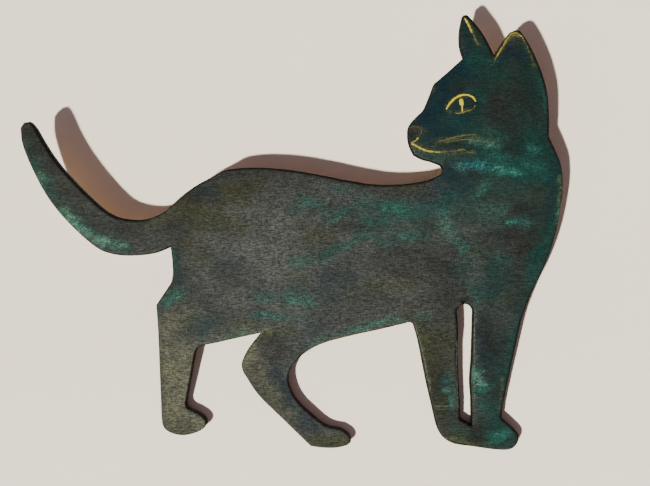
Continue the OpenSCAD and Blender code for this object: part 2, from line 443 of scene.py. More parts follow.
BROWN = [
    (0.85, 5, (264, 193), (270, 190), (276, 193)),
    (0.6, 6, (262, 184), (274, 182), (286, 186)),
    (0.45, 2.6, (240, 201), (250, 203), (262, 204)),
    (0.5, 3.5, (269, 174), (276, 176), (280, 179)),
    (0.6, 2.8, (270, 168), (274, 164)),
    (0.5, 3, (260, 213), (263, 210)),
    (0.85, 3, (219, 178), (219, 174)),
    (0.55, 2, (226, 169.5), (236, 169), (246, 170), (256, 168)),
    (0.6, 2.6, (253, 153), (258, 151)),
    (0.55, 3, (260, 140), (264, 136)),
    (0.6, 3, (275, 135), (283, 133)),
    (0.7, 6, (274, 120), (282, 116), (278, 112)),
    (0.4, 3, (262, 120), (256, 118)),
    (0.4, 4, (226, 124), (230, 126)),
    (0.45, 4, (232, 104), (240, 100)),
    (0.55, 5, (258, 70), (262, 58)),
    (0.4, 3, (262, 32), (265, 30)),
    (0.4, 2.6, (162, 134), (176, 135)),
    (0.45, 4, (176, 125), (188, 124), (196, 123)),
    (0.4, 3, (200, 110), (212, 111)),
    (0.35, 6, (204, 102), (216, 98)),
    (0.3, 6, (120, 92), (110, 96)),
    (0.35, 4, (190, 146), (206, 142), (222, 143)),
    (0.45, 5, (140, 62), (144, 54)),
    (0.4, 2, (130, 47), (131, 44)),
    (0.45, 3, (252, 8), (256, 10)),
    (0.4, 4, (244, 18), (242, 14)),
    (0.6, 4, (266, 200), (272, 198)),
    (0.35, 7, (272, 214), (278, 204)),
    (0.3, 4, (268, 226), (272, 220)),
    (0.5, 5, (284, 190), (286, 184)),
    (0.65, 4, (252, 8), (257, 14)),
]
PALE = [
    (0.6, 9, (144, 124), (142, 112), (144, 100)),
    (0.45, 8, (128, 118), (124, 108)),
    (0.4, 6, (150, 118), (160, 104)),
    (0.35, 5, (116, 137), (124, 131), (134, 134)),
    (0.4, 4, (102, 118), (106, 116)),
    (0.5, 5, (114, 83), (124, 83)),
    (0.4, 6, (96, 76), (84, 74)),
    (0.58, 7.5, (86, 66), (84, 50), (86, 34), (87, 24)),
    (0.6, 4.5, (94, 46), (92, 28), (98, 16), (99, 12)),
    (0.5, 5, (128, 52), (130, 42)),
    (0.35, 5, (142, 22), (152, 12)),
    (0.15, 6, (170, 6), (180, 7)),
    (0.35, 6, (64, 119), (76, 118)),
    (0.4, 3, (32, 124), (44, 117)),
    (0.1, 5, (226, 58), (228, 40)),
    (0.4, 6, (236, 128), (238, 122)),
    (0.35, 8, (218, 90), (206, 96)),
    (0.35, 8, (140, 80), (150, 78)),
    (0.35, 6, (262, 138), (266, 142)),
    (0.3, 3, (244, 140), (248, 134)),
    (0.35, 3, (262, 172), (266, 170)),
    (0.35, 3, (257, 68), (256, 60)),
    (0.75, 3.2, (24, 132), (32, 125), (42, 118), (56, 114)),
    (0.5, 3.5, (232, 130), (238, 126), (240, 120)),
    (0.5, 10, (134, 112), (146, 108), (140, 122)),
    (0.45, 3, (259, 176), (264, 171)),
    (0.7, 2.4, (254, 41), (257, 38)),
    (0.7, 3.2, (282.5, 222), (284.5, 213)),
    (0.35, 6, (252, 122), (258, 130)),
    (0.3, 8, (178, 120), (170, 132), (190, 134)),
    (0.22, 6, (126, 64), (150, 72), (172, 68)),
    (0.35, 3, (216, 164), (226, 161), (232, 160)),
    (0.4, 4, (238, 40), (240, 28)),
    (0.4, 4, (226, 134), (232, 128)),
    (0.35, 5, (150, 142), (158, 136)),
    (0.3, 3, (225, 176), (232, 174)),
    (0.5, 3, (248, 172.5), (262, 171)),
    (0.45, 3, (221, 76), (226, 75)),
    (0.3, 6, (104, 94), (114, 88)),
    (0.35, 6, (40, 132), (26, 146)),
    (0.35, 4, (82, 84), (88, 86)),
    (0.3, 4, (150, 84), (160, 84)),
    (0.3, 7, (206, 128), (218, 132)),
    (0.45, 3, (163, 60), (178, 65), (200, 71), (212, 74)),
    (0.35, 3, (98, 60), (114, 64), (128, 67)),
    (0.6, 3, (150, 44), (158, 30), (168, 20), (182, 14)),
    (0.45, 2.5, (96, 56), (93, 40)),
    (0.8, 5.5, (12, 153), (17, 144), (26, 133)),
    (0.45, 5, (52, 120), (60, 118)),
    (0.4, 7, (86, 112), (92, 106)),
    (0.3, 8, (130, 114), (138, 106)),
    (0.55, 6, (142, 84), (152, 81)),
    (0.5, 7, (196, 118), (208, 114)),
    (0.45, 5, (237, 146), (246, 141)),
    (0.55, 5, (254, 94), (257, 82)),
    (0.45, 4, (113, 66), (121, 67)),
    (0.45, 4, (239, 40), (240, 28)),
    (0.6, 6, (235, 156), (245, 153), (252, 149)),
    (0.5, 4, (224, 64), (226, 52)),
    (0.4, 4, (92, 26), (97, 18)),
    (0.4, 6, (218, 178), (228, 168), (238, 164)),
]
SAND = [      # warm pale rub on the legs
    (0.85, 7, (84, 66), (83, 50), (85, 34), (86, 22)),
    (0.8, 5, (92, 58), (92, 44), (93, 30), (97, 16), (100, 12)),
    (0.5, 5, (86, 24), (85, 13)),
    (0.6, 4.5, (127, 56), (130, 48), (134, 40)),
    (0.3, 5, (138, 34), (150, 20)),
    (0.35, 5, (112, 66), (124, 66)),
    (0.25, 6, (94, 76), (84, 78)),
    (0.2, 3, (117, 64), (124, 65)),
]
DUSK = [      # places laid darker than the ground
    (0.6, 8, (4, 176), (12, 160), (24, 142), (40, 127), (58, 119)),
    (0.45, 8, (58, 119), (76, 120), (90, 126)),
    (0.35, 9, (88, 112), (92, 134), (106, 146), (126, 152)),
    (0.35, 7, (86, 100), (82, 82), (90, 72)),
    (0.4, 12, (280, 218), (282, 200), (276, 186)),
    (0.4, 9, (248, 234), (256, 222), (262, 210)),
    (0.45, 8, (236, 40), (236, 14), (252, 7)),
    (0.4, 7, (228, 62), (234, 34)),
    (0.4, 3, (84, 139), (96, 147), (112, 154), (134, 156), (160, 154), (186, 149), (212, 147),
     (230, 150)),
    (0.3, 8, (108, 142), (132, 150), (160, 146)),
    (0.5, 5, (286, 122), (290, 114), (286, 108)),
    (0.4, 7, (276, 178), (288, 180)),
    (0.45, 4, (270, 222), (276, 222)),
    (0.35, 6, (222, 182), (230, 194), (240, 210)),
    (0.4, 3, (241, 191.5), (251, 192)),
    (0.5, 2.5, (219, 176), (221, 172)),
    (0.3, 10, (236, 104), (226, 108)),
    (0.65, 4.5, (2, 179), (7, 176)),
    (0.55, 3, (12, 172), (24, 156), (40, 139), (54, 130), (70, 128)),
    (0.3, 5, (232, 70), (236, 60)),
    (0.55, 2, (263, 113), (266, 116.5)),
    (0.6, 2, (276.5, 9), (276.5, 4)),
    (0.5, 1.2, (248, 83), (246, 84)),
    (0.4, 3, (268, 48), (266, 36)),
    (0.6, 6, (90, 137), (98, 142)),
    (0.4, 6, (272, 92), (276, 84)),
    (0.45, 4, (252, 9), (258, 13)),
    (0.3, 5, (230, 38), (236, 22)),
    (0.35, 8, (268, 224), (270, 212)),
    (0.3, 10, (30, 138), (6, 172)),
    (0.25, 7, (96, 84), (104, 82)),
    (0.2, 6, (134, 58), (142, 52)),
    (0.45, 5, (229, 52), (230, 38)),
    (0.35, 4, (84, 16), (86, 10)),
    (0.7, 3, (240, 5), (252, 3), (268, 3)),
    (0.3, 6, (276, 104), (280, 98)),
    (0.3, 9, (204, 112), (214, 108)),
    (0.25, 9, (138, 118), (150, 112)),
    (0.35, 8, (236, 96), (240, 84)),
    (0.4, 5, (222, 66), (226, 52), (230, 36), (234, 18)),
    (0.2, 8, (292, 146), (292, 130)),
    (0.4, 8, (266, 60), (264, 40), (262, 24)),
    (0.2, 8, (274, 132), (276, 104)),
    (0.25, 5, (262, 100), (268, 96)),
    (0.25, 7, (250, 88), (240, 110)),
    (0.25, 9, (232, 96), (240, 86)),
    (0.35, 6, (270, 96), (273, 82)),
    (0.3, 7, (233, 80), (243, 72)),
    (0.45, 3.5, (237, 4.5), (247, 3.5), (262, 3)),
    (0.22, 13, (262, 214), (272, 192), (268, 176)),
]
EDGE_SHADE_KEPT_THIN = [      # where the painted shade along the upper and right-hand edges is kept narrow
    (1, 7, (302, 162), (302, 140), (296, 112), (286, 84)),
    (0.6, 6, (12, 182), (2, 182)),
    (0.95, 6, (98, 58), (94, 38), (97, 24), (104, 19)),
    (0.95, 7, (150, 56), (148, 42), (157, 26), (168, 16), (184, 11)),
]
GOLDEN = [    # soft smears of gold worked into the ground round the gold lines
    (0.55, 0.9, (263.4, 217), (268, 223.4), (272, 230.4), (275.4, 232)),
    (0.65, 1.5, (272, 230.6), (277, 231)),
    (0.5, 1.3, (279, 230.4), (282, 225), (284, 219), (285.4, 214)),
    (0.5, 0.9, (247.4, 240), (251, 232.4), (254.4, 225)),
    (0.4, 1.5, (232, 171.2), (238, 172.8), (245, 173.4)),
    (0.3, 1.5, (245, 173.6), (254, 173.4)),
    (0.35, 1.8, (217, 179.4), (223, 178.6), (222.6, 174.6)),
    (0.5, 1, (218, 169.6), (224, 166.8), (234, 165.2), (244, 165.6), (252, 165.2)),
    (0.35, 1, (229.4, 203), (228.6, 199)),
    (0.4, 0.9, (238, 192), (242.6, 195.6), (248, 196.6)),
    (0.35, 0.8, (236.6, 188.4), (239, 187.8)),
    (0.4, 0.8, (242, 188.2), (250, 189.4)),
    (0.35, 1.4, (134, 66), (138, 64)),
]
LIME = [      # yellow-green rub at the edges and creases
    (0.8, 1.6, (133, 65.6), (137, 67), (139.6, 66)),
    (0.35, 1.2, (133, 62), (127, 53)),
    (0.28, 1, (220, 70), (224.4, 52), (228, 34)),
    (0.5, 1.1, (161, 57.4), (178, 62.8), (199, 68.4), (211, 71.6)),
    (0.48, 1.2, (104, 59.6), (113, 61.6), (128, 65)),
    (0.3, 1.2, (238, 7), (250, 3.6), (262, 3)),
    (0.6, 1, (299.8, 152), (300.2, 140), (298.6, 126)),
    (0.3, 1, (252.4, 78), (252.4, 60), (252, 26)),
    (0.3, 1, (243.4, 60), (243.6, 24)),
    (0.3, 1, (268, 40), (267, 22)),
]


def laid(strokes, p):
    """How strongly strokes cover each point, from 0 to 1. Broad strokes get ragged sides."""
    def sway(x, y, seed):
        return soft_noise(p[:, 0] / x, p[:, 1] / y, seed) - 0.5

    warp = np.stack([
        6 * sway(6, 3, 3) + 3 * sway(2.4, 1.3, 5),
        2.6 * sway(9, 5, 4) + 1.2 * sway(2.5, 1.4, 6)], 1)
    clear = np.ones(len(p))
    for strength, width, *points in strokes:
        line = np.array(points, float)
        reach = 2.2 * width + 4
        at = np.flatnonzero(((p > line.min(0) - reach) & (p < line.max(0) + reach)).all(1))
        q = (p[at] + warp[at] * min(1.0, width / 4))[:, None]
        a, ab = line[:-1], line[1:] - line[:-1]
        t = np.clip(((q - a) * ab).sum(2) / np.maximum((ab**2).sum(1), 1e-9), 0, 1)
        d = np.sqrt(((q - a - t[..., None] * ab)**2).sum(2)).min(1)
        clear[at] *= 1 - strength * np.exp(-(d / width)**2)
    return 1 - clear


# ======== meshes and objects
def turned_outwards(mesh, crease):
    """Turns the faces outwards and shades them smooth, up to a crease angle in degrees."""
    bm = bmesh.new()
    bm.from_mesh(mesh)
    bmesh.ops.recalc_face_normals(bm, faces=bm.faces)
    bm.to_mesh(mesh)
    bm.free()
    mesh.shade_smooth()
    mesh.set_sharp_from_angle(angle=math.radians(crease))


def placed(name, data):
    """A new object in the scene for a mesh, a lamp or a camera."""
    obj = bpy.data.objects.new(name, data)
    bpy.context.scene.collection.objects.link(obj)
    return obj


# ======== the board
def board_piece(node):
    """The board as a dense mesh on the CAD outline with its paint masks, and the outline itself."""
    outline = Outline([resample(p, OUTLINE_STEP) for p in face_loops(node)])
    if area_of(outline.loops[0]) < 0:
        outline = Outline([p[::-1] for p in outline.loops])
    round_edge = [ARRIS * (1 - math.cos(math.radians(a))) for a in (24, 46, 68, 90)]
    sawn_edge = [BACK_ARRIS * 0.3, BACK_ARRIS]
    front, front_tris, front_rim = cap(outline, FACE_STEP, [*round_edge, 2.0])
    back, back_tris, back_rim = cap(outline, BACK_STEP, [*sawn_edge, 1.2, 2.4, 4.0])
    front_d = outline.distance(front)[0]
    front_d[front_rim] = 0
    back_d = outline.distance(back)[0]
    back_d[back_rim] = 0

    n_rim = len(outline.a)
    inward = np.concatenate([normals_in(p) for p in outline.loops])

    def lift(flat, y):
        return np.stack([flat[:, 0], y, flat[:, 1]], 1)

    # three rows round the side: saw marks straight through the board, and a slow wander
    rim_u, rim_v = outline.a.T
    marks = (soft_noise(rim_u / 1.7 + 40, rim_v / 1.7, 11) - 0.5) * 0.16
    rows = []
    for y in np.linspace(FACE_Y + ARRIS, BACK_Y - BACK_ARRIS, 5)[1:-1]:
        saw = marks + (soft_noise(rim_u / 9, rim_v / 9 + y, 12) - 0.5) * 0.2
        rows.append(lift(outline.a + inward * (SIDE_INSET + saw)[:, None], np.full(n_rim, y)))

    verts = np.concatenate([
        lift(front, FACE_Y + rounding(front_d, ARRIS)),
        *rows,
        lift(back, BACK_Y - rounding(back_d, BACK_ARRIS)),
    ])
    n_front = len(front)
    n_walls = n_front + n_rim * len(rows)
    middle = [np.arange(n_rim) + n_front + k * n_rim for k in range(len(rows))]
    strips = [front_rim, *middle, back_rim + n_walls]
    nxt = outline.ahead
    walls = np.concatenate([
        np.stack([upper, lower, lower[nxt], upper[nxt]], 1)
        for upper, lower in zip(strips[:-1], strips[1:])])
    faces = [tuple(f) for part in (front_tris, walls, back_tris[:, ::-1] + n_walls) for f in part]
    mesh = bpy.data.meshes.new("painted_cat_board")
    world = (verts + [U0, 0, V0]) * MM
    mesh.from_pydata([tuple(v) for v in world], [], faces)
    kind = np.zeros(len(faces), np.int32)
    kind[len(front_tris):] = 1
    kind[len(front_tris) + len(walls):] = 2
    mesh.polygons.foreach_set("material_index", kind)
    turned_outwards(mesh, 38)

    flat = verts[:, [0, 2]]
    edge = np.concatenate([front_d, np.zeros(n_rim * len(rows)), back_d])
    # the black edge paint laps a little over the face all round; the wider band along the upper and
    # right-hand edges, which face away from the sun, is painted shade
    shaded = np.clip(-(inward[outline.nearest(flat)] @ (0.74, 0.67)), 0, 1)
    shaded = shaded * (1 - 0.7 * laid(EDGE_SHADE_KEPT_THIN, flat))
    patchy = 0.8 + 0.5 * soft_noise(flat[:, 0] / 6, flat[:, 1] / 6, 21)
    black_rim_and_shade = np.exp(-(edge / ((0.42 + shaded) * patchy))**4)
    full = np.ones(len(flat))
    for name, values in (
        ("washes_and_shaded_rim", [laid(SEA, flat), laid(DUSK, flat), black_rim_and_shade, laid(SAND, flat)]),
        ("tints", [laid(TEAL, flat), laid(AQUA, flat), laid(OLIVE, flat), full]),
        ("shades", [laid(BLUE, flat), laid(BROWN, flat), laid(PALE, flat), full]),
        ("rubs", [laid(GOLDEN, flat), laid(LIME, flat), np.clip(edge / EDGE_REACH, 0, 1), full]),
    ):
        layer = mesh.attributes.new(name, "FLOAT_COLOR", "POINT")
        data = np.stack(values, 1).astype(np.float32)
        layer.data.foreach_set("color", data.ravel())
    return placed("painted_cat_board", mesh), outline


# ======== shader graphs
class Value:
    """What a node gives out, with the arithmetic that the paints need."""

    def __init__(self, graph, socket):
        self.graph, self.socket = graph, socket

    def __add__(self, other):
        return self.graph.math("ADD", self, other)

    def __sub__(self, other):
        return self.graph.math("SUBTRACT", self, other)

    def __mul__(self, other):
        return self.graph.math("MULTIPLY", self, other)


class Graph:
    """One Principled material, with short names for the nodes that feed it."""

    def __init__(self, name):
        self.mat = bpy.data.materials.new(name)
        self.mat.use_nodes = True
        self.tree = self.mat.node_tree
        self.tree.nodes.clear()
        out = self.new("ShaderNodeOutputMaterial")
        self.bsdf = self.new("ShaderNodeBsdfPrincipled")
        self.tree.links.new(self.bsdf.outputs[0], out.inputs[0])
        where = self.new("ShaderNodeTexCoord")
        self.place = Value(self, where.outputs["Object"])

    def new(self, kind):
        return self.tree.nodes.new(kind)

    def put(self, socket, value):
        if isinstance(value, Value):
            self.tree.links.new(value.socket, socket)
        else:
            socket.default_value = value

    def math(self, op, a, b, clamp=False):
        n = self.new("ShaderNodeMath")
        n.operation, n.use_clamp = op, clamp
        self.put(n.inputs[0], a)
        self.put(n.inputs[1], b)
        return Value(self, n.outputs[0])

    def ease(self, x, low, high, to_low=0.0, to_high=1.0):
        """A soft step from to_low, where x is low, to to_high, where x is high."""
        n = self.new("ShaderNodeMapRange")
        n.interpolation_type = "SMOOTHSTEP"
        for k, v in enumerate((x, low, high, to_low, to_high)):
            self.put(n.inputs[k], v)
        return Value(self, n.outputs[0])

    def mix(self, fac, a, b):
        n = self.new("ShaderNodeMix")
        n.data_type = "RGBA"
        self.put(n.inputs[0], fac)
        for socket, colour in ((n.inputs[6], a), (n.inputs[7], b)):
            self.put(socket, colour if isinstance(colour, Value) else (*colour, 1))
        return Value(self, n.outputs[2])

    def scaled(self, colour, by):
        n = self.new("ShaderNodeVectorMath")
        n.operation = "SCALE"
        self.put(n.inputs[0], colour)
        self.put(n.inputs["Scale"], by)
        return Value(self, n.outputs[0])

    def noise(self, cells, detail, rough, warp=0.0, shift=(0, 0, 0), turn=0.0):
        """Noise with so many cells per mm, one number or x, y and z, turned by degrees about Y."""
        at = self.place
        if turn:
            r = self.new("ShaderNodeVectorRotate")
            r.rotation_type = "Y_AXIS"
            self.put(r.inputs["Vector"], at)
            r.inputs["Angle"].default_value = math.radians(turn)
            at = Value(self, r.outputs[0])
        place = self.new("ShaderNodeVectorMath")
        place.operation = "MULTIPLY_ADD"
        self.put(place.inputs[0], at)
        place.inputs[1].default_value = [c / MM for c in np.broadcast_to(cells, 3)]
        place.inputs[2].default_value = shift
        n = self.new("ShaderNodeTexNoise")
        self.put(n.inputs["Vector"], Value(self, place.outputs[0]))
        n.inputs["Scale"].default_value = 1.0
        n.inputs["Detail"].default_value = detail
        n.inputs["Roughness"].default_value = rough
        n.inputs["Distortion"].default_value = warp
        return Value(self, n.outputs[0])

    def attribute(self, name, output):
        n = self.new("ShaderNodeAttribute")
        n.attribute_name = name
        return Value(self, n.outputs[output])

    def masks(self, name):
        """The red, green and blue channels of a colour attribute."""
        n = self.new("ShaderNodeSeparateColor")
        self.put(n.inputs[0], self.attribute(name, "Color"))
        return [Value(self, out) for out in n.outputs]

    def bump(self, height, distance):
        """Relief up to distance mm high."""
        n = self.new("ShaderNodeBump")
        n.inputs["Strength"].default_value = 1.0
        n.inputs["Distance"].default_value = distance * MM
        self.put(n.inputs["Height"], height)
        self.put(self.bsdf.inputs["Normal"], Value(self, n.outputs[0]))

    def finish(self, colour, rough, metallic=0.0, ior=1.5, specular=0.5):
        self.put(self.bsdf.inputs["Base Color"], colour)
        self.put(self.bsdf.inputs["Roughness"], rough)
        self.bsdf.inputs["Metallic"].default_value = metallic
        self.bsdf.inputs["IOR"].default_value = ior
        self.bsdf.inputs["Specular IOR Level"].default_value = specular
        return self.mat


def times(colour, by):
    return tuple(c * by for c in colour)


def painted_face():
    """Dark ground, thin washes laid where the stroke masks say, then the streaks of a dry brush."""
    g = Graph("dry_brushed_paint")
    sea, dusk, black_rim_and_shade = g.masks("washes_and_shaded_rim")
    sand = g.attribute("washes_and_shaded_rim", "Alpha")
    teal, aqua, olive = g.masks("tints")
    blue, brown, pale = g.masks("shades")
    golden, lime, _ = g.masks("rubs")
    hair = g.noise((0.42, 1, 2.20), 1, 0.6)
    weft = g.noise((2.00, 1, 0.55), 1, 0.6, shift=(7, 0, 3))
    slant = g.noise((0.22, 1, 1.05), 2, 0.6, shift=(5, 0, 1), turn=24)
    speck = g.noise((1.60, 1, 1.95), 2, 0.65)
    drift = g.noise((0.10, 1, 0.22), 3, 0.6, shift=(3, 0, 9))
    cloud = g.noise((0.05, 1, 0.07), 3, 0.55, shift=(1, 0, 4))

    def layer(colour, mask, tint, grit, bite=2.4, most=1.0):
        """A thin coat that takes where its mask is strong and the grain stands proud."""
        take = g.math("MULTIPLY", mask, (grit - 0.5) * bite + 1.0, True)
        return g.mix(take * most, colour, tint)

    mottle = speck * 0.25 + hair * 0.20 + drift * 0.55
    flecks = speck * 0.40 + weft * 0.15 + slant * 0.45
    colour = g.mix(g.ease(cloud, 0.35, 0.65), (0.0200, 0.0230, 0.0213), (0.0248, 0.0283, 0.0265))
    colour = layer(colour, pale, (0.0410, 0.0455, 0.0420), mottle, 2.0)
    colour = layer(colour, dusk, (0.0085, 0.0095, 0.0080), mottle, 2.0)
    colour = layer(colour, olive, (0.0200, 0.0222, 0.0080), mottle, 3.0, 0.85)
    colour = layer(colour, sand, (0.0560, 0.0575, 0.0390), mottle, 2.4, 0.9)
    colour = layer(colour, sea, (0.0020, 0.0108, 0.0092), mottle, 1.2, 0.97)
    colour = layer(colour, blue, (0.0016, 0.0085, 0.0140), mottle, 1.6, 0.88)
    colour = layer(colour, brown, (0.0074, 0.0072, 0.0066), mottle, 2.0, 1.0)
    colour = layer(colour, teal, (0.0050, 0.0290, 0.0240), mottle, 3.6, 0.85)
    spots = g.ease(flecks, 0.42, 0.62)
    water = g.mix(blue, (0.0130, 0.0800, 0.0660), (0.0065, 0.0600, 0.0690))
    water = g.mix(pale * 0.9, water, (0.0480, 0.0930, 0.0620))
    colour = layer(colour, aqua, water, spots, 1.25, 0.88)
    sparks = g.ease(aqua, 0.2, 0.7) * g.ease(flecks, 0.56, 0.66)
    colour = g.mix(sparks * 0.42, colour, (0.0750, 0.2000, 0.1400))
    colour = layer(colour, golden, (0.0520, 0.0480, 0.0120), spots, 1.4, 0.8)
    colour = layer(colour, lime, (0.0530, 0.0700, 0.0360), spots, 1.2, 0.8)
    # hairs of light and dark left by a stiff, nearly dry brush
    grain = weft * 0.18 + speck * 0.40 + hair * 0.42
    quiet = sea * 0.45
    darkest, lightest = quiet * 0.6 + 0.51, quiet * -0.9 + 2.38
    colour = g.scaled(colour, g.ease(grain, 0.38, 0.68, darkest, lightest))
    # black paint wrapped over the arris, with a wider band of painted shade along the upper and
    # right-hand edges
    chips = g.ease(speck + lime * 0.25, 0.60, 0.72)
    black_wrap_and_shade = black_rim_and_shade * g.math("SUBTRACT", 0.95, chips, True)
    colour = g.mix(black_wrap_and_shade, colour, (0.0016, 0.0015, 0.0012))
    g.bump(weft * 0.2 + speck * 0.5 + hair * 0.6, 0.10)
    return g.finish(colour, black_rim_and_shade * 0.20 + 0.52 + grain * 0.20, specular=0.08)


def painted_edge():
    """Black paint on the sawn side, thin enough in places for the wood to warm it."""
    g = Graph("black_edge_paint")
    saw = g.noise((1.6, 0.05, 1.6), 2, 0.6)
    blot = g.noise((0.25, 0.35, 0.25), 3, 0.6)
    dust = g.noise(1.4, 2, 0.6)
    thin = g.ease(blot * 0.7 + saw * 0.3, 0.60, 0.74)
    colour = g.mix(g.ease(dust, 0.35, 0.75), (0.0030, 0.0027, 0.0022), (0.0120, 0.0105, 0.0080))
    colour = g.mix(thin * 0.60, colour, (0.060, 0.036, 0.017))
    g.bump(saw + dust * 0.3, 0.16)
    return g.finish(colour, blot * 0.2 + 0.62, specular=0.02)


def wood(name, light, dark, along, across, overspill=False):
    """Bare sawn wood, grain along X, its rings in cells per mm. Overspill is spilt edge paint."""
    g = Graph(name)
    wander = g.noise((0.006, 0.05, 0.03), 2, 0.5)
    rings = g.noise((along, across, across), 3, 0.55, 0.6, (2, 5, 1))
    fibre = g.noise((0.05, 2.2, 2.2), 2, 0.6)
    pores = g.noise((0.16, 4.5, 4.5), 1, 0.5, shift=(9, 1, 4))
    saw = g.noise((0.9, 0.1, 0.12), 2, 0.5)
    late = g.ease(rings * 0.8 + wander * 0.2, 0.42, 0.60)
    colour = g.mix(late, light, dark)
    colour = g.mix(g.ease(fibre, 0.40, 0.70) * 0.35, colour, times(dark, 0.72))
    colour = g.mix(g.ease(pores, 0.60, 0.72) * 0.45, colour, times(dark, 0.35))
    if overspill:
        edge = g.masks("rubs")[2]
        wrap = g.ease(edge + g.noise(0.5, 3, 0.65) * -0.42, -0.19, -0.06, 1.0, 0.0)
        colour = g.mix(wrap * 0.93, colour, (0.0075, 0.0070, 0.0062))
        soil = g.ease(g.noise(0.02, 3, 0.6), 0.45, 0.75)
        colour = g.mix(soil * 0.30, colour, times(dark, 0.55))
    g.bump(saw * 0.45 - pores * 0.5 + fibre * 0.6, 0.14)
    return g.finish(colour, fibre * 0.16 + 0.60, ior=1.47)


def brass(name, base, worn, rough):
    """Brushed brass plating with darker stains and a few spots."""
    g = Graph(name)
    stain = g.noise(0.35, 4, 0.6)
    brushed = g.noise((0.25, 5, 6), 1, 0.5)
    spots = g.noise(1.5, 2, 0.6, shift=(4, 4, 4))
    colour = g.mix(g.ease(stain, 0.35, 0.70), base, worn)
    colour = g.mix(g.ease(spots, 0.62, 0.74) * 0.6, colour, times(worn, 0.25))
    g.bump(brushed + spots * 0.4, 0.02)
    return g.finish(colour, stain * 0.25 + rough, metallic=1.0)


def gold_paint():
    """Gold line paint, which shows the dark ground where its load is small."""
    g = Graph("gold_line_paint")
    streak = g.noise(1.2, 3, 0.6)
    fleck = g.noise(4.5, 1, 0.5, shift=(3, 1, 2))
    load = g.attribute("load", "Fac") * (streak * 1.2 + 0.4)
    colour = g.mix(g.ease(load, 0.0, 0.8), (0.024, 0.036, 0.018), (0.435, 0.345, 0.012))
    colour = g.mix(g.ease(fleck, 0.60, 0.72) * 0.4, colour, (0.10, 0.080, 0.014))
    g.bump(streak + fleck * 0.5, 0.05)
    return g.finish(colour, fleck * 0.2 + 0.42, specular=0.3)


def scuff_paint():
    """The pale chalky paint of the thin scuffs."""
    g = Graph("pale_scuffed_paint")
    fleck = g.noise(2.5, 2, 0.5, shift=(3, 1, 2))
    load = g.attribute("load", "Fac") * (fleck * 1.6 + 0.2)
    colour = g.mix(g.ease(load, 0.0, 0.8), (0.022, 0.036, 0.028), (0.210, 0.275, 0.200))
    g.bump(fleck, 0.04)
    return g.finish(colour, fleck * 0.2 + 0.55, specular=0.2)


# ======== raised lines of paint
def smooth_line(points):
    """A curve through given (u, v) points, one point every LINE_STEP."""
    p = np.array(points, float)
    ends = np.concatenate([[2 * p[0] - p[1]], p, [2 * p[-1] - p[-2]]])
    out = []
    for i in range(1, len(ends) - 2):
        a, b, c, d = ends[i - 1:i + 3]
        n = max(1, int(round(np.linalg.norm(c - b) / LINE_STEP)))
        square, cube = 2 * a - 5 * b + 4 * c - d, 3 * b - a - 3 * c + d
        for s in np.arange(n) / n:
            out.append(0.5 * (2 * b + (c - a) * s + square * s**2 + cube * s**3))
    out.append(ends[-2])
    return np.array(out)


